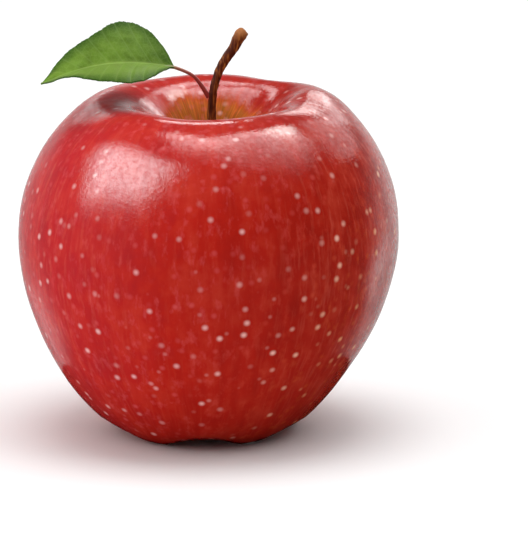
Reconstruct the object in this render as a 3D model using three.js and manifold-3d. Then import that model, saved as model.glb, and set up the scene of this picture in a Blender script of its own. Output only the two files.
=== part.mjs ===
// A whole fresh apple standing on its own foot, with its woody stem and one leaf.
// Millimetres, Z up. The foot rests on z = 0 and the fruit is centred on the Z axis.
// Seen from the front, which is -Y, the leaf points to the left, which is -X.
import * as THREE from 'three';
import { mergeVertices } from 'three/addons/utils/BufferGeometryUtils.js';
import Module from 'manifold-3d';

// ---- Driving dimensions -------------------------------------------------------------------------

// Fruit: a rounded, slightly squat apple with a wide shoulder.
const fruitDiameter = 80;
const fruitHeight = 71.9;
const widestAt = 0.58;              // share of the height where the fruit is widest
const rimDiameter = 39.8;           // crest of the shoulder round the stem cavity
const cavityDepth = 14;
const footDiameter = 31;            // crest of the foot round the calyx basin
const basinDepth = 7.5;
const lobeCount = 5;                // one lobe for each cell of the core
const sideLobe = 0.35;              // how far a lobe stands out at the fruit's waist
const shoulderLobe = 0.4;
const footLobe = 0.75;
const footFlat = 0.35;              // how much of each lobe's crest is pressed flat by its own weight
const fruitLean = 0.026;            // sideways grow per mm of height
const shoulderTilt = 0.2;           // the shoulder at the right stands this much higher

// Stem: leaves the cavity upright, then bends to the right.
const stemDiameter = 1.9;
const stemFootDiameter = 2.3;
const stemTipDiameter = 3.0;
const stemReach = 7.6;              // how far the tip is from the fruit's axis
const stemRise = 14.1;              // how far the tip stands above the shoulder
const socketDepth = 3;
const fitClearance = 0.3;

// Leaf: one blade folded at the midrib, on a thin stalk from the stem's left side.
const leafLength = 28.8;
const leafHalfWidth = 10.3;
const leafThickness = 0.4;
const leafYaw = 12;                 // degrees the midrib turns toward the front
const farHalfUp = 43;               // degrees above level at the stalk
const farTipUp = 16;                // degrees above level at the tip
const nearHalfDown = 9;             // degrees below level
const stalkDiameter = 0.95;
const stalkStart = 0.8;             // height of the stalk's foot above or below the shoulder
const stalkRise = 5.7;
const stalkReach = 6.7;

// Calyx: dried sepals and stamen remains in the basin underneath.
const sepalRing = 2.7;              // radius of the ring the sepals stand on
const sepalLength = 4.6;
const sepalWidth = 2.3;
const sepalThickness = 0.35;
const tuftDiameter = 2.4;
const tuftLength = 3.2;

// ---- Small helpers ------------------------------------------------------------------------------

const wasm = await Module();
wasm.setup();

const rad = (degrees) => THREE.MathUtils.degToRad(degrees);

function toSolid(geometry) {
  const bare = geometry.clone();
  bare.deleteAttribute('normal');
  bare.deleteAttribute('uv');
  const merged = mergeVertices(bare, 1e-4);
  return new wasm.Manifold(new wasm.Mesh({
    numProp: 3,
    vertProperties: Float32Array.from(merged.attributes.position.array),
    triVerts: Uint32Array.from(merged.index.array),
  }));
}

function fromSolid(solid) {
  const mesh = solid.getMesh();
  const geometry = new THREE.BufferGeometry();
  geometry.setAttribute('position', new THREE.BufferAttribute(mesh.vertProperties, 3));
  geometry.setIndex(new THREE.BufferAttribute(mesh.triVerts, 1));
  geometry.computeVertexNormals();
  return geometry;
}

// Moves every point of a geometry to the place that the given function returns.
function reshape(geometry, place) {
  const position = geometry.attributes.position;
  const point = new THREE.Vector3();
  for (let i = 0; i < position.count; i += 1) {
    place(point.fromBufferAttribute(position, i));
    position.setXYZ(i, point.x, point.y, point.z);
  }
  geometry.computeVertexNormals();
  return geometry;
}

// A closed round rod whose straight axis, Y from 0 to 1, is laid along a curve in space.
function rodAlong(curve, radiusAt, steps, sides) {
  const rings = Array.from({ length: steps + 1 }, (_, i) => {
    const t = i / steps;
    return new THREE.Vector2(radiusAt(t), t);
  });
  const profile = [new THREE.Vector2(0, 0), ...rings, new THREE.Vector2(0, 1)];
  const frames = curve.computeFrenetFrames(steps, false);
  return reshape(new THREE.LatheGeometry(profile, sides), (point) => {
    const step = Math.round(point.y * steps);
    const across = new THREE.Vector3()
      .addScaledVector(frames.normals[step], point.x)
      .addScaledVector(frames.binormals[step], -point.z);
    point.copy(curve.getPointAt(step / steps)).add(across);
  });
}

const group = new THREE.Group();
group.name = 'apple';

function addPart(name, geometry, colour, roughness) {
  const material = new THREE.MeshStandardMaterial({ color: colour, roughness, metalness: 0 });
  const mesh = new THREE.Mesh(geometry, material);
  mesh.name = name;
  group.add(mesh);
}

// ---- Fruit: skin and flesh grown as one piece ---------------------------------------------------

const fruitRadius = fruitDiameter / 2;
const rimRadius = rimDiameter / 2;
const footRadius = footDiameter / 2;
const widestZ = widestAt * fruitHeight;
const cavityFloor = fruitHeight - cavityDepth;
const axisX = (z) => fruitLean * (z - widestZ);

// Half of the fruit's section, from the eye underneath round the outside into the stem cavity.
const section = new THREE.Path();
section.moveTo(0, basinDepth);
section.bezierCurveTo(0.3 * footRadius, basinDepth, 0.62 * footRadius, 0, footRadius, 0);
section.bezierCurveTo(
  footRadius + 0.17 * fruitRadius, 0,
  fruitRadius, 0.52 * widestZ,
  fruitRadius, widestZ,
);
section.bezierCurveTo(
  fruitRadius, widestZ + 0.57 * (fruitHeight - widestZ),
  rimRadius + 0.24 * fruitRadius, fruitHeight,
  rimRadius, fruitHeight,
);
section.bezierCurveTo(
  0.52 * rimRadius, fruitHeight,
  0.3 * rimRadius, cavityFloor,
  0, cavityFloor,
);

// Height of one lobe wave round the fruit: +1 on a crest, -1 in a valley. The front is a valley.
const lobeWave = (x, y) => -Math.cos(lobeCount * Math.atan2(x, -y));

// Where the fruit's smooth round skin really lies once the lobes, the lean and the tilt have grown.
function growFruit(point) {
  const radius = Math.hypot(point.x, point.y);
  const wave = lobeWave(point.x, point.y);
  const high = THREE.MathUtils.smoothstep(point.z, widestZ, fruitHeight);
  const low = THREE.MathUtils.smoothstep(widestZ - point.z, 0, widestZ);
  const awayFromAxis = THREE.MathUtils.smoothstep(radius, 0.15 * footRadius, 0.8 * footRadius);
  const out = 1 + (sideLobe * wave) / fruitRadius;
  const right = point.x / Math.max(radius, 1);
  point.x = point.x * out + axisX(point.z);
  point.y *= out;
  point.z += high * awayFromAxis * (shoulderLobe * wave + shoulderTilt * right);
  point.z += low * awayFromAxis * (footLobe * (1 - wave) - footFlat);
}

const fruitSkin = new THREE.LatheGeometry(section.getSpacedPoints(50), 60);
fruitSkin.rotateX(Math.PI / 2);
reshape(fruitSkin, growFruit);

const table = new THREE.BoxGeometry(2 * fruitDiameter, 2 * fruitDiameter, 10);
table.translate(0, 0, -5);

const socketFloor = cavityFloor - socketDepth;
const socket = new THREE.CylinderGeometry(
  stemFootDiameter / 2 + fitClearance,
  stemFootDiameter / 2 + fitClearance,
  2 * socketDepth,
  24,
);
socket.rotateX(Math.PI / 2);
socket.translate(axisX(cavityFloor), 0, socketFloor + socketDepth);

const fruit = toSolid(fruitSkin).subtract(toSolid(table)).subtract(toSolid(socket));
addPart('fruit_body', fromSolid(fruit), 0xa61c1f, 0.3);

// ---- Stem: a woody rod standing in the cavity, with the swollen scar of its tip ------------------

const stemFoot = new THREE.Vector3(axisX(cavityFloor), 0, socketFloor + fitClearance);
const stemTip = new THREE.Vector3(stemReach, 0, fruitHeight + stemRise);
const stemCurve = new THREE.CubicBezierCurve3(
  stemFoot,
  new THREE.Vector3(stemFoot.x + 0.3, 0, stemFoot.z + 0.5 * (stemTip.z - stemFoot.z)),
  new THREE.Vector3(0.13 * stemReach, 0, stemFoot.z + 0.82 * (stemTip.z - stemFoot.z)),
  stemTip,
);
const stemLength = stemCurve.getLength();

function stemRadius(t) {
  const fromFoot = t * stemLength;
  const fromTip = (1 - t) * stemLength;
  const foot = (stemFootDiameter - stemDiameter) * Math.exp(-fromFoot / 4);
  const scar = (stemTipDiameter - stemDiameter) * Math.exp(-((fromTip - 1) ** 2) / 5);
  const rounding = Math.min(1, Math.sqrt((Math.min(fromTip, fromFoot) + 0.35) / 0.9));
  return 0.5 * (stemDiameter + foot + scar) * rounding;
}
addPart('stem', rodAlong(stemCurve, stemRadius, 34, 16), 0x6b3a22, 0.75);

// ---- Leaf: stalk, midrib and blade grown as one piece -------------------------------------------

// The stalk's foot stops just short of the stem's left side.
const stalkFootZ = fruitHeight + stalkStart;
const stalkShare = (stalkFootZ - stemFoot.z) / (stemTip.z - stemFoot.z);
const stemAtStalk = stemCurve.getPointAt(stalkShare);
const stalkFoot = new THREE.Vector3(
  stemAtStalk.x - stemDiameter / 2 - stalkDiameter / 2 - fitClearance,
  0,
  stalkFootZ,
);
const along = new THREE.Vector3(-Math.cos(rad(leafYaw)), -Math.sin(rad(leafYaw)), 0);
const bladeBase = stalkFoot.clone().add(new THREE.Vector3(-stalkReach, -0.8, stalkRise));
const midribPoint = (share, lift) => bladeBase.clone()
  .addScaledVector(along, share * leafLength)
  .add(new THREE.Vector3(0, 0, lift));
const midribCurve = new THREE.CatmullRomCurve3([
  bladeBase,
  midribPoint(0.2, 1.1),
  midribPoint(0.5, 1.4),
  midribPoint(0.8, 0.7),
  midribPoint(1, -2),
]);
const ribDrop = 0.25;               // the midrib hangs this far under the blade
const stalkCurve = new THREE.CatmullRomCurve3([
  stalkFoot,
  stalkFoot.clone().lerp(bladeBase, 0.45).add(new THREE.Vector3(0.2, 0, 0.2)),
  bladeBase,
  midribPoint(0.2, 1.1 - ribDrop),
  midribPoint(0.5, 1.4 - ribDrop),
  midribPoint(0.8, 0.7 - ribDrop),
]);

// The stalk carries on under the blade as the midrib and thins toward the tip.
const stalkRadius = (t) => 0.5 * stalkDiameter * (1 - 0.72 * THREE.MathUtils.smoothstep(t, 0.15, 1));
const stalk = rodAlong(stalkCurve, stalkRadius, 30, 10);

// Half width of the blade at a share of its length: broad near the stalk, drawn out at the tip.
function bladeHalfWidth(share) {
  const outline = Math.max(0, Math.sin(Math.PI * share ** 0.74)) ** 0.9;
  return 0.25 + leafHalfWidth * outline;
}

// Lays a point of the flat blade (share along, share across, thickness) on the folded leaf.
function growBlade(point) {
  const share = THREE.MathUtils.clamp(point.x, 0, 1);
  const across = point.y;
  const width = Math.abs(across) * bladeHalfWidth(share);
  const farUp = THREE.MathUtils.lerp(farHalfUp, farTipUp, THREE.MathUtils.smoothstep(share, 0.2, 1));
  const fold = across > 0 ? rad(-nearHalfDown) : rad(farUp);
  const soft = 1 - Math.exp(-width / 1.2);
  const side = new THREE.Vector3(-along.y, along.x, 0).multiplyScalar(Math.sign(across));
  const up = leafThickness * point.z + width * Math.sin(fold) * soft;
  point.copy(midribCurve.getPointAt(share));
  point.addScaledVector(side, width * Math.cos(fold));
  point.z += up;
}

const bladePlate = new THREE.BoxGeometry(1, 2, 1, 26, 12, 1);
bladePlate.translate(0.5, 0, 0);
reshape(bladePlate, growBlade);
addPart('leaf', fromSolid(toSolid(bladePlate).add(toSolid(stalk))), 0x3f7d2a, 0.45);

// ---- Calyx: five dried sepals round the eye, with the stamen remains in their middle -------------

const eyeX = axisX(basinDepth);
const sepalRoot = basinDepth - 4 * fitClearance;

// A thin pointed scale that grows down out of the basin and curls outward at its tip.
function growSepal(point) {
  const share = THREE.MathUtils.clamp(point.x, 0, 1);
  const halfWidth = 0.12 + 0.5 * sepalWidth * (1 - share) ** 0.7;
  const outward = sepalRing + sepalThickness * point.z - 0.6 * Math.sin(Math.PI * share) + 0.8 * share ** 3;
  const sideways = halfWidth * point.y;
  point.set(outward, sideways, sepalRoot - sepalLength * Math.sin(0.5 * Math.PI * share) * 0.9);
}

for (let i = 0; i < lobeCount; i += 1) {
  const sepal = new THREE.BoxGeometry(1, 2, 1, 8, 4, 1);
  sepal.translate(0.5, 0, 0);
  reshape(sepal, growSepal);
  sepal.rotateZ(((i + 0.5) * 2 * Math.PI) / lobeCount);
  sepal.translate(eyeX, 0, 0);
  addPart(`sepal_${i + 1}`, fromSolid(toSolid(sepal)), 0x4a3420, 0.9);
}

const tuftTop = basinDepth - 2 * fitClearance;
const tuftProfile = new THREE.Path();
tuftProfile.moveTo(0, 0);
tuftProfile.quadraticCurveTo(tuftDiameter * 0.35, 0, tuftDiameter * 0.4, tuftLength * 0.4);
tuftProfile.quadraticCurveTo(tuftDiameter * 0.5, tuftLength, 0, tuftLength);
const tuft = new THREE.LatheGeometry(tuftProfile.getSpacedPoints(10), 14);
tuft.rotateX(Math.PI / 2);
tuft.translate(eyeX, 0, tuftTop - tuftLength);
addPart('stamen_tuft', tuft, 0x3a2a1c, 0.95);

export default group;
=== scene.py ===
import math

import bpy
from mathutils import Matrix, Vector


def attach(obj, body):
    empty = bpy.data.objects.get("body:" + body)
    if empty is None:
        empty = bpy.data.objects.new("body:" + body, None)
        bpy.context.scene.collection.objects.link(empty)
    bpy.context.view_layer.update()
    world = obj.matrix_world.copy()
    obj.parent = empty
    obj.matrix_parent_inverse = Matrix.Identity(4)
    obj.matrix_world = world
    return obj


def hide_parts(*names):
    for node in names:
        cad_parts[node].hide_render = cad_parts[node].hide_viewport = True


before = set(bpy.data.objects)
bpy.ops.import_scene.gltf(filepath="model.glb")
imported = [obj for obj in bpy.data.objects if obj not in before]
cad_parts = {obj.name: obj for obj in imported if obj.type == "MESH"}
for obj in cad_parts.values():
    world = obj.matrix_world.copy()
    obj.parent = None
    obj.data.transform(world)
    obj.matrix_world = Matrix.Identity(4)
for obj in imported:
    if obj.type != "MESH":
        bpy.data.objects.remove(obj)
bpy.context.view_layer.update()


# ---- Fruit --------------------------------------------------------------------------------------
# The fleshy fruit: skin and flesh grown as one piece, with five shallow lobes, a deep stem cavity
# on top and the calyx basin underneath. The stem and the sepals grow out of it, and it stands on
# the crests of its lobes.

waist_radius = 0.0400
shoulder_height = 0.0720
waist_height = 0.0417
rim_radius = 0.0199
foot_radius = 0.0155
basin_depth = 0.0075
cavity_depth = 0.0140
lobe_angles = (-108, -36, 36, 108, 180)
between_lobes = 36
pressed_flat = 0.0002
weld_distance = 1e-6
section_steps = 26
turn_steps = 180


def clear_selection():
    if bpy.context.object and bpy.context.object.mode != "OBJECT":
        bpy.ops.object.mode_set(mode="OBJECT")
    bpy.ops.object.select_all(action="DESELECT")


def draw_curve(name, points):
    """A curve through points of (place, handle before, handle after), in metres."""
    clear_selection()
    bpy.ops.curve.primitive_bezier_curve_add(location=(0, 0, 0))
    curve = bpy.context.object
    curve.name = name
    spline = curve.data.splines[0]
    spline.bezier_points.add(len(points) - 2)
    for knot, (place, before, after) in zip(spline.bezier_points, points):
        knot.handle_left_type = knot.handle_right_type = "FREE"
        knot.co, knot.handle_left, knot.handle_right = place, before, after
    return curve


def weld():
    """Joins points that lie on each other and turns every face outward."""
    bpy.ops.object.mode_set(mode="EDIT")
    bpy.ops.mesh.select_all(action="SELECT")
    bpy.ops.mesh.remove_doubles(threshold=weld_distance)
    bpy.ops.mesh.normals_make_consistent(inside=False)
    bpy.ops.object.mode_set(mode="OBJECT")


def outline(*points):
    """Turns (radius, height) pairs into points of the fruit's section."""
    return [tuple((r, 0, z) for r, z in point) for point in points]


section = draw_curve("fruit", outline(
    ((0, basin_depth), (0, basin_depth), (0.3 * foot_radius, basin_depth)),
    ((foot_radius, 0), (0.62 * foot_radius, 0), (foot_radius + 0.17 * waist_radius, 0)),
    ((waist_radius, waist_height), (waist_radius, 0.52 * waist_height),
     (waist_radius, waist_height + 0.57 * (shoulder_height - waist_height))),
    ((rim_radius, shoulder_height), (rim_radius + 0.24 * waist_radius, shoulder_height),
     (0.52 * rim_radius, shoulder_height)),
    ((0, shoulder_height - cavity_depth), (0.3 * rim_radius, shoulder_height - cavity_depth),
     (0, shoulder_height - cavity_depth)),
))
section.data.resolution_u = section_steps
bpy.ops.object.convert(target="MESH")
fruit = bpy.context.object
bpy.ops.object.mode_set(mode="EDIT")
bpy.ops.mesh.select_all(action="SELECT")
bpy.ops.mesh.spin(steps=turn_steps, angle=2 * math.pi, center=(0, 0, 0), axis=(0, 0, 1))
weld()


def pull(piece, test, move, reach):
    """Moves the points that pass the test, and what lies within reach of them, less and less."""
    bpy.ops.object.mode_set(mode="EDIT")
    bpy.ops.mesh.select_mode(type="VERT")
    bpy.ops.mesh.select_all(action="DESELECT")
    bpy.ops.object.mode_set(mode="OBJECT")
    for vertex in piece.data.vertices:
        vertex.select = test(vertex.co)
    bpy.ops.object.mode_set(mode="EDIT")
    bpy.ops.transform.translate(value=move, use_proportional_edit=True,
                                proportional_edit_falloff="SMOOTH", proportional_size=reach)
    bpy.ops.object.mode_set(mode="OBJECT")


def around(angle, radius, height):
    """A place on the fruit: the angle runs from the front, positive toward +X."""
    turn = math.radians(angle)
    return Vector((radius * math.sin(turn), -radius * math.cos(turn), height))


def near(place, distance):
    """A test for points within a distance of a place."""
    return lambda point: (point - place).length < distance


# One lobe for each of the five cells of the core: fuller at the shoulder, lower at the foot.
for angle in lobe_angles:
    outward = around(angle, 1, 0)
    pull(fruit, near(around(angle, rim_radius, shoulder_height), 0.002),
         outward * 0.0004 + Vector((0, 0, 0.0004)), 0.014)
    pull(fruit, near(around(angle + between_lobes, foot_radius, 0), 0.002), (0, 0, 0.0016),
         0.0075)
    pull(fruit, near(around(angle, waist_radius, waist_height), 0.004), outward * 0.0004, 0.022)

# The right shoulder swells, and a fold runs down beside it into the cavity.
pull(fruit, near(around(112, rim_radius, shoulder_height), 0.003), (0.0003, 0, 0.0004), 0.012)
pull(fruit, near(around(125, 0.72 * rim_radius, shoulder_height), 0.002), (0, 0, -0.0016), 0.0085)
pull(fruit, near(around(130, 0.5 * rim_radius, shoulder_height - 0.004), 0.002),
     (0.0005, -0.0005, -0.0006), 0.008)

# The whole front of the rim sits lower than the back.
pull(fruit, near(around(0, rim_radius, shoulder_height), 0.005), (0, 0, -0.0016), 0.040)

# The fruit grew leaning a little to the right.
pull(fruit, lambda point: point.z > 0.066 or (point.z > 0.05 and point.xy.length < 0.012),
     (0.0007, 0, 0), 0.034)
pull(fruit, lambda point: point.z < 0.009, (-0.0010, 0, 0), 0.034)

# Natural skin is never quite even: broad, very shallow swells.
swell = bpy.data.textures.new("fruit swell", "CLOUDS")
swell.noise_scale = 0.016
swell.noise_depth = 1
displace = fruit.modifiers.new("swell", "DISPLACE")
displace.texture = swell
displace.texture_coords = "LOCAL"
displace.mid_level = 0.5
displace.strength = 0.0006
clear_selection()
fruit.select_set(True)
bpy.context.view_layer.objects.active = fruit
bpy.ops.object.modifier_apply(modifier="swell")

# Its own weight presses the crests of the lobes flat on the table.
bpy.ops.object.mode_set(mode="EDIT")
bpy.ops.mesh.select_all(action="DESELECT")
bpy.ops.object.mode_set(mode="OBJECT")
for vertex in fruit.data.vertices:
    vertex.select = vertex.co.z < pressed_flat
bpy.ops.object.mode_set(mode="EDIT")
bpy.ops.transform.resize(value=(1, 1, 0), center_override=(0, 0, 0))
bpy.ops.object.mode_set(mode="OBJECT")
bpy.ops.object.shade_smooth()


def linear(hex_colour):
    """An sRGB hex colour as the linear colour that a shader expects."""
    parts = [int(hex_colour[i:i + 2], 16) / 255 for i in (1, 3, 5)]
    return [p / 12.92 if p <= 0.04045 else ((p + 0.055) / 1.055) ** 2.4 for p in parts] + [1]


def new_material(name):
    material = bpy.data.materials.new(name)
    material.use_nodes = True
    return material, material.node_tree.nodes["Principled BSDF"]


def feed(owner, socket, source):
    """Sets an input to a number or a hex colour, or links it to another node's output."""
    if isinstance(source, str):
        source = linear(source)
    if isinstance(source, (int, float, list)):
        socket.default_value = source
    else:
        owner.node_tree.links.new(source, socket)


def add_node(owner, kind, links=None, **settings):
    """Adds a node to a material, a lamp or the world, sets its properties and inputs, and links
    its other inputs."""
    node = owner.node_tree.nodes.new(kind)
    for key, value in settings.items():
        if key.startswith("in_"):
            node.inputs[key[3:].replace("_", " ")].default_value = value
        else:
            setattr(node, key, value)
    for target, source in (links or {}).items():
        feed(owner, node.inputs[target], source)
    return node


def maths(owner, operation, *terms, clamp=False):
    """One step of arithmetic on numbers and the outputs of other nodes."""
    return add_node(owner, "ShaderNodeMath", dict(enumerate(terms)), operation=operation,
                    use_clamp=clamp).outputs[0]


def spread(owner, source, start, end, low=0, high=1, kind="LINEAR"):
    """A value that runs from low to high while the source runs from start to end."""
    return add_node(owner, "ShaderNodeMapRange", {"Value": source}, interpolation_type=kind,
                    in_From_Min=start, in_From_Max=end, in_To_Min=low,
                    in_To_Max=high).outputs["Result"]


def noise(owner, place, scale, detail, roughness=0.5):
    """Soft noise from 0 to 1, with this many blots to each unit of its place."""
    return add_node(owner, "ShaderNodeTexNoise", {"Vector": place}, in_Scale=scale,
                    in_Detail=detail, in_Roughness=roughness).outputs["Fac"]


def ramp(owner, source, *stops):
    """A colour that follows a value, with stops of (position, hex colour)."""
    node = add_node(owner, "ShaderNodeValToRGB", {"Fac": source})
    elements = node.color_ramp.elements
    while len(elements) < len(stops):
        elements.new(0.5)
    for element, (position, colour) in zip(elements, stops):
        element.position = position
        element.color = linear(colour)
    return node.outputs["Color"]


def mix_colours(owner, share, first, second):
    """The first colour at a share of 0, the second at 1."""
    return add_node(owner, "ShaderNodeMix", {0: share, 6: first, 7: second},
                    data_type="RGBA").outputs[2]


def own_place(owner, scale=(1000, 1000, 1000)):
    """The object's own coordinates: in millimetres, unless another scale is given."""
    where = add_node(owner, "ShaderNodeTexCoord")
    return add_node(owner, "ShaderNodeMapping", {"Vector": where.outputs["Object"]},
                    in_Scale=scale).outputs["Vector"]


def own_mm(owner, axis):
    """One of the object's own coordinates, in millimetres."""
    return add_node(owner, "ShaderNodeSeparateXYZ", {"Vector": own_place(owner)}).outputs[axis]


# Apple skin: a thin waxy cuticle over cells full of red pigment. The wax gives a clear gloss. Fine
# pale streaks run from stem to eye, with small pale pores and golden ground colour in the cavity.
skin, skin_shader = new_material("waxy apple skin")
in_mm = own_place(skin)
split = add_node(skin, "ShaderNodeSeparateXYZ", {"Vector": in_mm})
across_mm, height_mm = split.outputs["X"], split.outputs["Z"]
level = add_node(skin, "ShaderNodeCombineXYZ", {"X": across_mm, "Y": split.outputs["Y"]})
from_axis = add_node(skin, "ShaderNodeVectorMath", {0: level.outputs[0]},
                     operation="LENGTH").outputs["Value"]
way_out = add_node(skin, "ShaderNodeVectorMath", {0: level.outputs[0]},
                   operation="NORMALIZE").outputs["Vector"]

# Streaks: noise that is the same all the way from the stem to the eye, apart from a slow change.
girth = add_node(skin, "ShaderNodeVectorMath", {0: way_out}, operation="SCALE", in_Scale=36)
slow = add_node(skin, "ShaderNodeCombineXYZ", {"Z": maths(skin, "MULTIPLY", height_mm, 0.15)})
streak_space = add_node(skin, "ShaderNodeVectorMath",
                        {0: girth.outputs["Vector"], 1: slow.outputs[0]}, operation="ADD")
wobble = add_node(skin, "ShaderNodeTexNoise", {"Vector": in_mm}, in_Scale=0.22, in_Detail=3)
wobble_mm = add_node(skin, "ShaderNodeVectorMath", {0: wobble.outputs["Color"]},
                     operation="SCALE", in_Scale=0.9)
streak_place = add_node(skin, "ShaderNodeVectorMath",
                        {0: streak_space.outputs["Vector"], 1: wobble_mm.outputs["Vector"]},
                        operation="ADD").outputs["Vector"]
fine_streaks = noise(skin, streak_place, 1.1, 3, 0.6)
broad_streaks = noise(skin, streak_place, 0.33, 2, 0.55)
mottle = noise(skin, in_mm, 0.16, 4, 0.6)
grain = noise(skin, in_mm, 1.6, 3, 0.6)

# Red pigment, deeper and lighter by slow patches.
patches = maths(skin, "MULTIPLY_ADD", broad_streaks, 0.55, mottle)
red = ramp(skin, spread(skin, patches, 0.5, 1.05),
           (0.0, "#8a1109"), (0.5, "#b41e10"), (1.0, "#d84430"))

# The red is browner to the right and low down, and rosier on the left: partly the side that hung
# in the sun, and partly painted light, with painted shade on the right and low down and a painted
# pink sheen on the left.
side_place = maths(skin, "MULTIPLY_ADD", mottle, 30, across_mm)
side_shift = maths(skin, "MULTIPLY_ADD", height_mm, -0.12, side_place)
side_tint_and_painted_light = ramp(skin, spread(skin, side_shift, -24, 38),
             (0.0, "#cb2c38"), (0.45, "#ba1f15"), (1.0, "#861605"))
blush_and_painted_light = mix_colours(skin, 0.58, red, side_tint_and_painted_light)

# Pale hair-thin streaks where the pigment is thin, plainest on the two flanks.
on_flank = spread(skin, maths(skin, "ABSOLUTE", across_mm), 8, 32, 0.06, 0.22)
streak_share = spread(skin, fine_streaks, 0.5, 0.72)
streaked = mix_colours(skin, maths(skin, "MULTIPLY", streak_share, on_flank), blush_and_painted_light, "#e2705a")

# Ground colour: the cavity and the basin stay golden, shading to brown at the very bottom. The edge
# of the red is ragged, and the gold reaches further out on the left.
way_out_x = add_node(skin, "ShaderNodeSeparateXYZ", {"Vector": way_out}).outputs["X"]
on_left = spread(skin, way_out_x, -0.5, -0.95, 0, 3.4)
in_cavity = spread(skin, maths(skin, "ADD", from_axis, on_left), 15.5, 11.5)
cavity = maths(skin, "MULTIPLY", in_cavity, spread(skin, height_mm, 50, 54))
basin = maths(skin, "MULTIPLY", spread(skin, from_axis, 13, 6), spread(skin, height_mm, 14, 10))
ground = maths(skin, "MAXIMUM", cavity, basin)
ragged = spread(skin, broad_streaks, 0.3, 0.7, -0.35, 0.35)
ground_gate = maths(skin, "MULTIPLY", maths(skin, "ADD", ground, ragged), ground, clamp=True)
up_wall = spread(skin, from_axis, 2, 14, -0.6, 0.25)
ground_colour = ramp(skin, maths(skin, "MULTIPLY_ADD", fine_streaks, 1.4, up_wall),
                     (0.0, "#3a240a"), (0.5, "#935315"), (1.0, "#d06a28"))
skin_colour = mix_colours(skin, ground_gate, streaked, ground_colour)


def dots(scale, edge, core, pick_low, pick_high, faintest, plainest):
    """Soft dots, one in each cell, some fainter than others. Edge and core: shares of a cell."""
    cells = add_node(skin, "ShaderNodeTexVoronoi", {"Vector": in_mm}, in_Scale=scale)
    spot = spread(skin, cells.outputs["Distance"], edge, core, kind="SMOOTHSTEP")
    plain = spread(skin, cells.outputs["Color"], pick_low, pick_high, faintest, plainest)
    return maths(skin, "MULTIPLY", spot, plain)


# Pores: pale dots under a millimetre across, about 6 mm apart. Fainter ones lie between them, and
# soft flecks a few millimetres long. Low down on the shaded side both are more golden.
pore_mask = dots(0.27, 0.26, 0.03, 0.2, 0.85, 0.14, 1.0)
faint_mask = dots(0.36, 0.34, 0.05, 0.35, 0.9, 0, 0.42)
fleck_place = add_node(skin, "ShaderNodeMapping", {"Vector": in_mm}, in_Scale=(1, 1, 0.45))
flecks = noise(skin, fleck_place.outputs["Vector"], 0.55, 3, 0.6)
pale_spots = maths(skin, "MAXIMUM", faint_mask, spread(skin, flecks, 0.54, 0.75, 0, 0.34))
low_and_shaded = spread(skin, maths(skin, "MULTIPLY_ADD", height_mm, -0.5, across_mm), -22, 14)
pore_colour = ramp(skin, low_and_shaded, (0.0, "#f4b9b6"), (0.6, "#efb3a4"), (1.0, "#dd9c6c"))
fleck_colour = ramp(skin, low_and_shaded, (0.0, "#df6468"), (0.6, "#cf4a38"), (1.0, "#c4541f"))
blotted = mix_colours(skin, pale_spots, skin_colour, fleck_colour)
feed(skin, skin_shader.inputs["Base Color"], mix_colours(skin, pore_mask, blotted, pore_colour))

# The cuticle: a thin clear coat of wax, missing where the cavity's skin turns corky, and finely
# rippled along the streaks, which breaks up reflections.
waxed = spread(skin, ground_gate, 0.12, 0.55, 1.0, 0.02)
wax = spread(skin, noise(skin, in_mm, 0.95, 4, 0.7), 0.38, 0.6, 0.55, 1.0)
feed(skin, skin_shader.inputs["Coat Weight"], maths(skin, "MULTIPLY", waxed, wax))
ripple = noise(skin, streak_place, 0.8, 2)
relief = maths(skin, "ADD", maths(skin, "MULTIPLY_ADD", ripple, 0.5, grain), pore_mask)
bump = add_node(skin, "ShaderNodeBump", {"Height": relief}, in_Strength=0.3, in_Distance=0.00012)
feed(skin, skin_shader.inputs["Normal"], bump.outputs["Normal"])
feed(skin, skin_shader.inputs["Coat Normal"], bump.outputs["Normal"])
skin_shader.inputs["Roughness"].default_value = 0.7
skin_shader.inputs["IOR"].default_value = 1.4
skin_shader.inputs["Specular IOR Level"].default_value = 0.04
skin_shader.inputs["Coat Roughness"].default_value = 0.10
skin_shader.inputs["Coat IOR"].default_value = 1.42
fruit.data.materials.clear()
fruit.data.materials.append(skin)
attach(fruit, "root")
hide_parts("fruit_body")


# ---- Stem ---------------------------------------------------------------------------------------
# The woody pedicel that the fruit hung from. It grows out of the cavity's floor, bends to the
# right and ends in the swollen scar where it broke off the spur.


def along_y0(*pairs):
    """Turns (x, z) pairs into a point of a curve that stays in the middle plane."""
    return tuple((x, 0, z) for x, z in pairs)


stem_radius = 0.00095
stem_curve = draw_curve("stem", [
    along_y0((0.0005, 0.0552), (0.0005, 0.0540), (0.0006, 0.0610)),
    along_y0((0.0010, 0.0712), (0.0008, 0.0672), (0.0012, 0.0735)),
    along_y0((0.0023, 0.0768), (0.0017, 0.0752), (0.0030, 0.0787)),
    along_y0((0.0054, 0.0820), (0.0043, 0.0805), (0.0062, 0.0832)),
    along_y0((0.0071, 0.0850), (0.0063, 0.0842), (0.0075, 0.0854)),
    along_y0((0.0079, 0.0857), (0.0077, 0.0855), (0.0080, 0.0858)),
])
stem_curve.data.resolution_u = 24
stem_curve.data.bevel_depth = stem_radius
stem_curve.data.bevel_resolution = 8
stem_curve.data.use_fill_caps = True
# Thickness along it: wider at the foot, thin in the cavity, swollen at the scar.
stem_thicknesses = (1.2, 0.86, 0.96, 1.14, 1.45, 0.95)
for knot, thickness in zip(stem_curve.data.splines[0].bezier_points, stem_thicknesses):
    knot.radius = thickness
bpy.ops.object.convert(target="MESH")
stem = bpy.context.object
weld()
bark_ridges = bpy.data.textures.new("stem ridges", "CLOUDS")
bark_ridges.noise_scale = 0.0012
ridges = stem.modifiers.new("ridges", "DISPLACE")
ridges.texture = bark_ridges
ridges.texture_coords = "LOCAL"
ridges.mid_level = 0.5
ridges.strength = 0.0003
bpy.ops.object.modifier_apply(modifier="ridges")
bpy.ops.object.shade_smooth()
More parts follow.
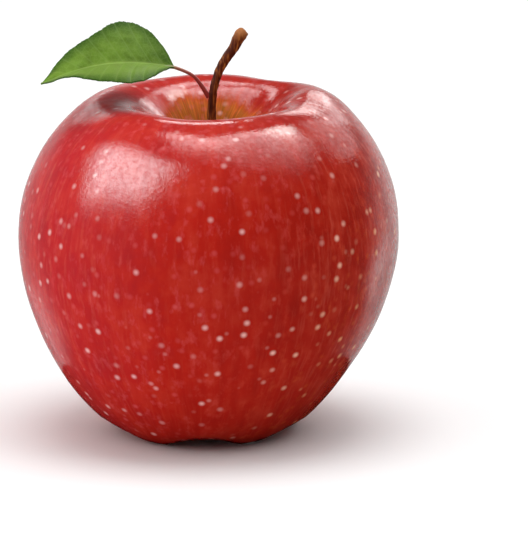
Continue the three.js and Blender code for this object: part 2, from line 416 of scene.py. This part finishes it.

# Young bark: thin, dry and finely grooved along the stem, reddish brown with ochre among the
# grooves, and pale at the scar. The paleness grows with height, so the top of the swollen end is
# also lit with painted light.
bark, bark_shader = new_material("young apple bark")
grooves = noise(bark, own_place(bark, (2600, 2600, 260)), 0.7, 4)
bark_colour = ramp(bark, grooves, (0.3, "#2f1004"), (0.5, "#5e2409"), (0.68, "#a8642a"))
scar_and_painted_top_light = spread(bark, own_mm(bark, "Z"), 83.8, 85.6, 0, 0.75)
feed(bark, bark_shader.inputs["Base Color"], mix_colours(bark, scar_and_painted_top_light, bark_colour, "#b06f3c"))
bark_bump = add_node(bark, "ShaderNodeBump", {"Height": grooves},
                     in_Strength=0.6, in_Distance=0.0002)
feed(bark, bark_shader.inputs["Normal"], bark_bump.outputs["Normal"])
bark_shader.inputs["Roughness"].default_value = 0.75
bark_shader.inputs["Specular IOR Level"].default_value = 0.1
stem.data.materials.clear()
stem.data.materials.append(bark)
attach(stem, "root")
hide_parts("stem")


# ---- Leaf ---------------------------------------------------------------------------------------
# One leaf: a thin green blade folded at its midrib, with a toothed edge and sunken veins, on a
# thin reddish stalk that springs from the stem's left side. It is one grown piece.

leaf_length = 0.0284
leaf_thickness = 0.00028
blade_base = Vector((-0.0069, -0.0008, 0.0783))
leaf_yaw = math.radians(12)
leaf_along = Vector((-math.cos(leaf_yaw), -math.sin(leaf_yaw), 0))
leaf_near = Vector((math.sin(leaf_yaw), -math.cos(leaf_yaw), 0))
teeth = 30
side_vein_count, vein_slant, vein_bow = 9.5, 2.0, 0.35


def smooth(low, high, value):
    """Runs gently from 0 to 1 while the value runs from low to high."""
    t = min(1, max(0, (value - low) / (high - low)))
    return t * t * (3 - 2 * t)


# Half widths in mm at shares of the blade's length, from the stalk to the tip.
far_half_widths = ((0, 0.2), (0.036, 3.3), (0.066, 5.2), (0.13, 8.4), (0.20, 10.5), (0.27, 11.6),
                   (0.35, 11.6), (0.43, 10.6), (0.51, 9.2), (0.60, 8.1), (0.68, 7.3), (0.76, 6.2),
                   (0.85, 4.3), (0.94, 1.9), (1, 0.1))
near_half_widths = ((0, 0.2), (0.05, 1.7), (0.117, 4.1), (0.21, 7.0), (0.30, 9.2), (0.43, 10.9),
                    (0.54, 9.2), (0.615, 7.8), (0.69, 6.6), (0.80, 4.5), (0.89, 2.7), (0.95, 1.3),
                    (1, 0.1))


def blade_half_width(share, far_half):
    """The blade's half width in metres, on a smooth curve through the stations, with its teeth."""
    stations = far_half_widths if far_half else near_half_widths
    k = max(i for i in range(len(stations) - 1) if stations[i][0] <= share + 1e-9)
    before, start, end, after = (stations[max(0, min(len(stations) - 1, k + i))]
                                 for i in (-1, 0, 1, 2))
    span = end[0] - start[0]
    t = (share - start[0]) / span
    slope_start = (end[1] - before[1]) / (end[0] - before[0]) * span
    slope_end = (after[1] - start[1]) / (after[0] - start[0]) * span
    width = ((2 * t ** 3 - 3 * t ** 2 + 1) * start[1] + (t ** 3 - 2 * t ** 2 + t) * slope_start
             + (3 * t ** 2 - 2 * t ** 3) * end[1] + (t ** 3 - t ** 2) * slope_end)
    tooth = (share * teeth) % 1
    return max(0.0001, 0.001 * width * (0.99 + 0.02 * tooth))


def midrib_height(share):
    """The blade rises from the stalk, then droops toward its tip."""
    rise = 0.0014 * math.sin(math.pi * min(1, share / 0.95))
    return rise + 0.0002 * share - 0.0025 * share ** 3


def vein_depth(share, across):
    """How far the blade sinks at a side vein: they leave the midrib slanting toward the tip."""
    run = share * side_vein_count - abs(across) * vein_slant * (1 - vein_bow * abs(across))
    to_vein = abs((run % 1) - 0.5)
    return 0.00009 * (1 - smooth(0, 0.3, to_vein)) * smooth(0.02, 0.12, abs(across))


clear_selection()
bpy.ops.mesh.primitive_grid_add(x_subdivisions=240, y_subdivisions=90, size=1,
                                location=(0, 0, 0))
leaf = bpy.context.object
leaf.name = "leaf_blade"
leaf_map = leaf.data.uv_layers[0]
leaf_map.name = "leaf_map"
flat = [vertex.co.copy() for vertex in leaf.data.vertices]
for loop in leaf.data.loops:
    place = flat[loop.vertex_index]
    leaf_map.data[loop.index].uv = (place.x + 0.5, place.y + 0.5)
for vertex in leaf.data.vertices:
    share = vertex.co.x + 0.5
    across = vertex.co.y * 2
    width = abs(across) * blade_half_width(share, across < 0)
    if across > 0:
        fold = math.radians(-8 + 13 * smooth(0.55, 0.92, share))
    else:
        fold = math.radians(44 - 20 * smooth(0.55, 1, share))
    soft = 1 - math.exp(-width / 0.0010)
    cup = 0.0006 * (width / 0.0103) ** 2
    wave = 0.0002 * math.sin(share * 17) * abs(across) ** 2
    up = width * math.sin(fold) * soft - vein_depth(share, across) - cup + wave
    vertex.co = (blade_base + leaf_along * (share * leaf_length)
                 + leaf_near * (math.copysign(1, across) * width * math.cos(fold))
                 + Vector((0, 0, midrib_height(share) + up)))
wall = leaf.modifiers.new("wall", "SOLIDIFY")
wall.thickness = leaf_thickness
wall.offset = -1
bpy.ops.object.modifier_apply(modifier="wall")

# Leaf tissue: green cells under a thin cuticle, with paler veins. Some light comes through it.
leaf_green, leaf_shader = new_material("green leaf tissue")
leaf_uv = add_node(leaf_green, "ShaderNodeUVMap", uv_map="leaf_map")
leaf_split = add_node(leaf_green, "ShaderNodeSeparateXYZ", {"Vector": leaf_uv.outputs["UV"]})
along_blade, over_blade = leaf_split.outputs["X"], leaf_split.outputs["Y"]
off_rib = maths(leaf_green, "ABSOLUTE", maths(leaf_green, "SUBTRACT", over_blade, 0.5))
across_share = maths(leaf_green, "MULTIPLY", off_rib, 2.0)

# The veins lie where the blade sinks: side veins, the midrib, and a fine net between them.
bow = maths(leaf_green, "MULTIPLY_ADD", across_share, -vein_bow, 1.0)
bowed = maths(leaf_green, "MULTIPLY", across_share, bow)
slant = maths(leaf_green, "MULTIPLY", bowed, -vein_slant)
run = maths(leaf_green, "MULTIPLY_ADD", along_blade, side_vein_count, slant)
to_vein = maths(leaf_green, "ABSOLUTE",
                maths(leaf_green, "SUBTRACT", maths(leaf_green, "FRACT", run), 0.5))
leaf_mm = own_place(leaf_green)
net = add_node(leaf_green, "ShaderNodeTexVoronoi", {"Vector": leaf_mm},
               feature="DISTANCE_TO_EDGE", in_Scale=1.3)
main_veins = maths(leaf_green, "MAXIMUM", spread(leaf_green, to_vein, 0.09, 0.01, 0, 0.18),
                   spread(leaf_green, across_share, 0.07, 0.02, 0, 0.5))
all_veins = maths(leaf_green, "MAXIMUM", main_veins,
                  spread(leaf_green, net.outputs["Distance"], 0.09, 0.02, 0, 0.12))

# A painted sheen makes the near half paler, and painted shade darkens the edges and the far half
# beside the stalk.
leaf_base = ramp(leaf_green, noise(leaf_green, leaf_mm, 0.35, 3),
                 (0.3, "#55711a"), (0.7, "#769635"))
near_half = spread(leaf_green, over_blade, 0.49, 0.56, 0, 0.7)
leaf_with_painted_sheen = mix_colours(leaf_green, near_half, leaf_base, "#738f3f")
painted_shade_by_stalk = maths(leaf_green, "MULTIPLY", spread(leaf_green, along_blade, 0.45, 0.05, 0, 0.65),
                  spread(leaf_green, over_blade, 0.49, 0.35))
painted_shade_at_edges = spread(leaf_green, across_share, 0.5, 1.0, 0, 0.9)
shaded = mix_colours(leaf_green, maths(leaf_green, "MAXIMUM", painted_shade_at_edges, painted_shade_by_stalk), leaf_with_painted_sheen,
                     "#24480c")
feed(leaf_green, leaf_shader.inputs["Base Color"],
     mix_colours(leaf_green, all_veins, shaded, "#93ad5c"))
leaf_bump = add_node(leaf_green, "ShaderNodeBump", {"Height": all_veins},
                     invert=True, in_Strength=0.5, in_Distance=0.0001)
feed(leaf_green, leaf_shader.inputs["Normal"], leaf_bump.outputs["Normal"])
leaf_shader.inputs["Roughness"].default_value = 0.45
leaf_shader.inputs["Specular IOR Level"].default_value = 0.04
leaf_shader.inputs["IOR"].default_value = 1.42
leaf_shader.inputs["Subsurface Weight"].default_value = 0.25
leaf_shader.inputs["Subsurface Radius"].default_value = (0.0004, 0.0009, 0.0002)
leaf_shader.inputs["Subsurface Scale"].default_value = 1.0
leaf.data.materials.clear()
leaf.data.materials.append(leaf_green)
bpy.ops.object.shade_smooth()


def under_blade(share, drop):
    """A place inside the midrib, at a share of the blade's length."""
    return tuple(blade_base + leaf_along * share * leaf_length
                 + Vector((0, 0, midrib_height(share) - drop)))


# The leaf stalk runs from the stem to the blade, and on under it as the midrib.
stalk_radius = 0.0004
stalk_curve = draw_curve("leaf_stalk", [
    ((0.0002, 0, 0.0716), (0.0004, 0, 0.0712), (-0.0005, -0.0001, 0.0729)),
    ((-0.0030, -0.0003, 0.0762), (-0.0019, -0.0002, 0.0753), (-0.0042, -0.0004, 0.0771)),
    (under_blade(0, 0.0002), (-0.0061, -0.0007, 0.0778), (-0.0100, -0.0014, 0.0786)),
    (under_blade(0.5, 0.0008), (-0.0180, -0.0030, 0.0789), (-0.0240, -0.0044, 0.0789)),
    (under_blade(0.93, 0.0007), (-0.0310, -0.0058, 0.0780), (-0.0345, -0.0066, 0.0756)),
])
stalk_curve.data.resolution_u = 16
stalk_curve.data.bevel_depth = stalk_radius
stalk_curve.data.bevel_resolution = 4
stalk_curve.data.use_fill_caps = True
for knot, thickness in zip(stalk_curve.data.splines[0].bezier_points, (1.35, 0.9, 0.9, 0.5, 0.2)):
    knot.radius = thickness
bpy.ops.object.convert(target="MESH")
stalk = bpy.context.object
bpy.ops.object.shade_smooth()

# Stalk skin: soft green wood, flushed dark red near the stem.
stalk_skin, stalk_shader = new_material("flushed leaf stalk")
toward_stem = spread(stalk_skin, own_mm(stalk_skin, "X"), -8.5, -2.5)
feed(stalk_skin, stalk_shader.inputs["Base Color"],
     ramp(stalk_skin, toward_stem, (0.0, "#7f8a4c"), (0.4, "#9c5a40"), (1.0, "#983029")))
stalk_shader.inputs["Roughness"].default_value = 0.45
stalk.data.materials.clear()
stalk.data.materials.append(stalk_skin)

for piece in (leaf, stalk):
    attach(piece, "root")
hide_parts("leaf")
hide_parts("leaf")


# ---- Sepals -------------------------------------------------------------------------------------
# Five dried sepals stand round the eye in the basin: what is left of the flower's green calyx.
# Each is a small leathery scale, grown out of the skin, curled outward and rolled at its edges.

eye = Vector((-0.0009, 0, 0))
clear_selection()
bpy.ops.mesh.primitive_grid_add(x_subdivisions=30, y_subdivisions=16, size=1, location=(0, 0, 0))
sepal = bpy.context.object
# Shares of the sepal's length, with its distance from the eye's middle and its height in mm.
sepal_path = ((0.0, 2.85, 6.95), (0.12, 2.65, 6.3), (0.3, 2.35, 5.2), (0.5, 2.2, 4.0),
              (0.68, 2.3, 3.1), (0.84, 2.75, 2.5), (1.0, 3.55, 2.2))
sepal_thickness = 0.00028
sepal_half_width = 1.3
for vertex in sepal.data.vertices:
    share, across = vertex.co.x + 0.5, vertex.co.y * 2
    k = max(i for i in range(len(sepal_path) - 1) if sepal_path[i][0] <= share + 1e-9)
    (s0, r0, z0), (s1, r1, z1) = sepal_path[k], sepal_path[k + 1]
    t = (share - s0) / (s1 - s0)
    ragged_edge = 0.07 * math.sin(share * 41) + 0.05 * math.sin(share * 97 + 1)
    side = across * (sepal_half_width * (1 - share) ** 0.75 + 0.1 + ragged_edge * abs(across))
    roll = 0.35 * across ** 2 * (1 - 0.4 * share)
    ribs = 0.05 * math.cos(across * 9) * (1 - share)
    vertex.co = Vector((r0 + (r1 - r0) * t - roll + ribs, side, z0 + (z1 - z0) * t)) * 0.001
wall = sepal.modifiers.new("wall", "SOLIDIFY")
wall.thickness = sepal_thickness
wall.offset = 0
bpy.ops.object.modifier_apply(modifier="wall")
bpy.ops.object.mode_set(mode="EDIT")
bpy.ops.mesh.select_all(action="SELECT")
bpy.ops.mesh.normals_make_consistent(inside=False)
bpy.ops.object.mode_set(mode="OBJECT")
bpy.ops.object.shade_smooth()

# Dried sepal: papery brown skin with a felt of short pale hairs that greys it.
dry_sepal, dry_shader = new_material("dried felted sepal")
felt = noise(dry_sepal, own_place(dry_sepal, (1000, 1000, 400)), 5, 4, 0.7)
feed(dry_sepal, dry_shader.inputs["Base Color"],
     ramp(dry_sepal, felt, (0.3, "#4a3622"), (0.55, "#8a7050"), (0.75, "#c0ae8c")))
felt_bump = add_node(dry_sepal, "ShaderNodeBump", {"Height": felt},
                     in_Strength=0.7, in_Distance=0.00012)
feed(dry_sepal, dry_shader.inputs["Normal"], felt_bump.outputs["Normal"])
dry_shader.inputs["Roughness"].default_value = 0.9
dry_shader.inputs["Specular IOR Level"].default_value = 0.15
sepal.data.materials.clear()
sepal.data.materials.append(dry_sepal)

# No two are the same size: each one's stretch outward.
lean = (1.0, 0.93, 1.06, 0.97, 1.03)
sepals = [sepal]
for number in range(1, 5):
    copy = sepal.copy()
    copy.data = sepal.data.copy()
    bpy.context.collection.objects.link(copy)
    sepals.append(copy)
for number, piece in enumerate(sepals):
    piece.name = f"dried_sepal_{number + 1}"
    turn = Matrix.Rotation(math.radians(36 + 72 * number), 4, "Z")
    tilt = Matrix.Diagonal((lean[number], 2 - lean[number], 1, 1))
    piece.data.transform(Matrix.Translation(eye) @ turn @ tilt)
    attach(piece, "root")
    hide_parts(f"sepal_{number + 1}")


# ---- Stamen tuft --------------------------------------------------------------------------------
# The withered stamens inside the ring of sepals: a tuft of thin dry threads, each with a
# shrivelled knob that once held pollen, grown out of the middle of the eye.

thread_count = 26
golden_angle = 2.399963
foot_height = 7.3
foot_spread, end_spread = 0.62, 0.86
threads = []
for number in range(thread_count):
    turn = number * golden_angle
    apart = 0.22 + 0.78 * math.sqrt((number + 0.5) / thread_count)
    foot_x = foot_spread * apart * math.cos(turn)
    foot_y = foot_spread * apart * math.sin(turn)
    end_turn = turn + 0.5 * math.sin(number * 1.7)
    end_x = end_spread * apart * math.cos(end_turn)
    end_y = end_spread * apart * math.sin(end_turn)
    end_z = 3.85 + 0.9 * abs(math.sin(number * 2.3))
    bow_x, bow_y = 0.15 * math.sin(number * 3.1), 0.15 * math.cos(number * 2.7)
    spots = [(foot_x, foot_y, foot_height), (foot_x + bow_x, foot_y + bow_y, 6.0),
             ((foot_x + 2 * end_x) / 3 - bow_x, (foot_y + 2 * end_y) / 3 - bow_y,
              0.4 * foot_height + 0.6 * end_z - 0.6),
             (end_x, end_y, end_z + 0.25), (end_x * 1.02, end_y * 1.02, end_z)]
    places = [eye + Vector(spot) * 0.001 for spot in spots]
    points = []
    for i, place in enumerate(places):
        before, after = places[max(0, i - 1)], places[min(len(places) - 1, i + 1)]
        step = (after - before) / 6
        points.append((place, place - step, place + step))
    thread = draw_curve("thread", points)
    thread.data.resolution_u = 5
    thread.data.bevel_depth = 0.00007
    thread.data.bevel_resolution = 2
    thread.data.use_fill_caps = True
    for knot, thickness in zip(thread.data.splines[0].bezier_points, (1.4, 1.0, 0.8, 1.0, 2.1)):
        knot.radius = thickness
    threads.append(thread)
clear_selection()
for thread in threads:
    thread.select_set(True)
bpy.context.view_layer.objects.active = threads[0]
bpy.ops.object.convert(target="MESH")
bpy.ops.object.join()
tuft = bpy.context.object
tuft.name = "stamen_threads"
bpy.ops.object.shade_smooth()

# Withered stamen: brittle thread, dark brown at the foot and straw coloured toward the knob.
dry_thread, thread_shader = new_material("withered stamen")
toward_knob = spread(dry_thread, own_mm(dry_thread, "Z"), 6.8, 4.2)
feed(dry_thread, thread_shader.inputs["Base Color"],
     ramp(dry_thread, toward_knob, (0.0, "#3a2413"), (0.6, "#75532c"), (1.0, "#4a3018")))
thread_shader.inputs["Roughness"].default_value = 0.85
thread_shader.inputs["Specular IOR Level"].default_value = 0.2
tuft.data.materials.clear()
tuft.data.materials.append(dry_thread)
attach(tuft, "root")
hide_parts("stamen_tuft")


# ---- Floor, light and camera --------------------------------------------------------------------
# A pale matt table under soft studio light. Some lamps show only in the gloss and some only light,
# so that the shape of each highlight can be set apart from the shading.

clear_selection()
floor_size = 6
bpy.ops.mesh.primitive_plane_add(size=floor_size, location=(0, 0, 0))
floor = bpy.context.object
floor.name = "floor"
floor_white, floor_shader = new_material("matt white table")
floor_shader.inputs["Base Color"].default_value = (0.92, 0.92, 0.92, 1)
floor_shader.inputs["Roughness"].default_value = 1.0
floor_shader.inputs["Specular IOR Level"].default_value = 0.0
floor.data.materials.append(floor_white)
floor.visible_glossy = False

# A black card on the table, seen only in the gloss: a painted shadow that stands for the table's
# shadow under the fruit in the reflection, and takes the glare off the fruit's underside.
card_radius = 0.046
card_middle = (0, 0.006, 0.0001)
bpy.ops.mesh.primitive_circle_add(vertices=96, radius=card_radius, fill_type="NGON",
                                  location=card_middle)
gloss_shadow_card = bpy.context.object
gloss_shadow_card.name = "black card"
card_black, card_shader = new_material("black velvet card")
card_shader.inputs["Base Color"].default_value = (0.01, 0.004, 0.004, 1)
card_shader.inputs["Roughness"].default_value = 1.0
card_shader.inputs["Specular IOR Level"].default_value = 0.0
gloss_shadow_card.data.materials.append(card_black)
gloss_shadow_card.visible_camera = gloss_shadow_card.visible_diffuse = gloss_shadow_card.visible_shadow = False

middle = Vector((0, 0, 0.045))


def fade_edges(lamp, fades):
    """Dims a lamp toward its edges: (axis, share where dimmest, share where full, dimmest)."""
    lamp.use_nodes = True
    shares = add_node(lamp, "ShaderNodeSeparateXYZ",
                      {0: add_node(lamp, "ShaderNodeNewGeometry").outputs["Parametric"]})
    strength = 1
    for axis, dimmest_share, full_share, dimmest in fades:
        fade = spread(lamp, shares.outputs[axis], dimmest_share, full_share, dimmest,
                      kind="SMOOTHSTEP")
        strength = maths(lamp, "MULTIPLY", strength, fade)
    feed(lamp, lamp.node_tree.nodes["Emission"].inputs["Strength"], strength)


def softbox(name, azimuth, elevation, distance, width, height, radiance, shape="RECTANGLE",
            roll=0, tint=(1, 1, 1), fades=(), in_gloss=True):
    """A flat lamp that faces the fruit, for the gloss or for the shading. Azimuth runs from the
    front, positive toward +X."""
    turn, lift = math.radians(azimuth), math.radians(elevation)
    way = Vector((math.sin(turn) * math.cos(lift), -math.cos(turn) * math.cos(lift),
                  math.sin(lift)))
    data = bpy.data.lights.new(name, "AREA")
    data.shape = shape
    data.size, data.size_y = width, height
    data.energy = radiance * math.pi * width * height
    data.color = tint
    if fades:
        fade_edges(data, fades)
    lamp = bpy.data.objects.new(name, data)
    bpy.context.collection.objects.link(lamp)
    lamp.location = middle + way * distance
    lamp.rotation_euler = (way.to_track_quat("Z", "Y").to_matrix()
                           @ Matrix.Rotation(math.radians(roll), 3, "Z")).to_euler()
    lamp.visible_camera = False
    lamp.visible_diffuse = not in_gloss
    lamp.visible_glossy = in_gloss


# The room's lamps in the gloss: a window on the left, a wide light overhead and two at the back.
softbox("left window", -71, 41.5, 0.60, 0.68, 0.50, 14.5, roll=20, tint=(0.88, 0.98, 1.0),
        fades=(("Y", 0.05, 0.5, 0.10), ("Y", 1.0, 0.78, 0.45), ("X", 0.0, 0.28, 0.15),
               ("X", 1.0, 0.78, 0.18)))
softbox("overhead", 90, 72.5, 0.63, 0.46, 0.70, 9.5, tint=(1.0, 0.93, 0.93),
        fades=(("X", 0.0, 0.95, 0.05), ("Y", 0.0, 0.4, 0.15)))
softbox("small high lamp", 134, 60, 0.60, 0.17, 0.13, 12.0, "ELLIPSE", tint=(0.84, 1.0, 0.95))
softbox("right shoulder lamp", 134, 34, 0.60, 0.38, 0.28, 1.7, "ELLIPSE", tint=(1.0, 0.86, 0.86))

# Small cards close to the fruit light single places, and low lamps stand for the table's bounce.
softbox("right shoulder card", 158.2, 33.7, 0.113, 0.038, 0.024, 2.6, "ELLIPSE",
        tint=(1.0, 0.94, 0.92))
softbox("left rim card", -159, 22.7, 0.1166, 0.028, 0.013, 0.7, "ELLIPSE")
softbox("right bounce", 120, -17, 0.50, 0.34, 0.20, 1.15, tint=(1.0, 0.9, 0.88),
        fades=(("X", 0.0, 0.65, 0.0), ("X", 1.0, 0.8, 0.3), ("Y", 1.0, 0.5, 0.0),
               ("Y", 0.0, 0.4, 0.2)))
softbox("left bounce", -125, -26, 0.50, 0.42, 0.22, 0.6, tint=(1.0, 0.92, 0.94),
        fades=(("X", 1.0, 0.4, 0.0), ("Y", 1.0, 0.5, 0.0), ("Y", 0.0, 0.3, 0.2)))
softbox("right back card", 152.5, 28.6, 0.167, 0.062, 0.032, 2.7,
        fades=(("X", 1.0, 0.5, 0.3), ("Y", 0.0, 0.3, 0.5)))
softbox("left back card", -150, 28.3, 0.165, 0.045, 0.045, 1.1, "ELLIPSE")
softbox("cavity card", -177, 59.4, 0.071, 0.021, 0.010, 7.0)

# The lamps that light: a wide low one on the left and a high one on the right.
softbox("key", -72, 12, 0.9, 1.1, 1.1, 1.2, in_gloss=False)
softbox("high fill", 75, 60, 0.9, 0.6, 0.6, 1.6, in_gloss=False)

# The ceiling's even light: a very wide sun straight above, and a narrower one that draws shadows.
for name, degrees_wide, strength in (("ceiling", 110, 1.36), ("ceiling window", 34, 1.0)):
    ceiling_data = bpy.data.lights.new(name, "SUN")
    ceiling_data.angle = math.radians(degrees_wide)
    ceiling_data.energy = strength
    ceiling = bpy.data.objects.new(name, ceiling_data)
    bpy.context.collection.objects.link(ceiling)
    ceiling.visible_glossy = False

# The world: white behind everything, a dome that is dimmer toward the front for the shading, and
# for the gloss a room that is bright only low down at the back, and more on the right.
world = bpy.data.worlds.new("white studio")
bpy.context.scene.world = world
world.use_nodes = True
world.node_tree.nodes.clear()
sky = add_node(world, "ShaderNodeSeparateXYZ",
               {0: add_node(world, "ShaderNodeTexCoord").outputs["Generated"]}).outputs
room_light = spread(world, sky["Y"], 0.3, 0.85, 0.05, 1.35, kind="SMOOTHSTEP")
for share in (spread(world, sky["Z"], 0.38, 0.16, 0.08, 1),
              spread(world, sky["Z"], -0.8, -0.15, 0.03, 1),
              spread(world, sky["X"], -0.6, 0.6, 0.38, 1)):
    room_light = maths(world, "MULTIPLY", room_light, share)
room = add_node(world, "ShaderNodeBackground", {"Strength": room_light})
dome = add_node(world, "ShaderNodeBackground",
                {"Strength": spread(world, sky["Y"], -0.8, 0.4, 0.11, 0.45)})
white = add_node(world, "ShaderNodeBackground", in_Color=(1, 1, 1, 1), in_Strength=1.0)
path = add_node(world, "ShaderNodeLightPath").outputs
lighting = add_node(world, "ShaderNodeMixShader",
                    {0: path["Is Glossy Ray"], 1: dome.outputs[0], 2: room.outputs[0]})
background = add_node(world, "ShaderNodeMixShader",
                      {0: path["Is Camera Ray"], 1: lighting.outputs[0], 2: white.outputs[0]})
add_node(world, "ShaderNodeOutputWorld", {"Surface": background.outputs[0]})

bpy.context.scene.view_settings.view_transform = "Standard"

camera_tilt = math.radians(13)
camera_distance = 1.2
seen_height = 0.1141
aim = Vector((0.01183, 0, 0.03437))
camera_data = bpy.data.cameras.new("camera")
camera = bpy.data.objects.new("camera", camera_data)
bpy.context.collection.objects.link(camera)
camera_data.sensor_width = 36
camera_data.lens = 36 * camera_distance / seen_height
camera_data.clip_start = 0.01
away = Vector((0, -math.cos(camera_tilt), math.sin(camera_tilt)))
camera.location = aim + away * camera_distance
camera.rotation_euler = away.to_track_quat("Z", "Y").to_euler()
bpy.context.scene.camera = camera
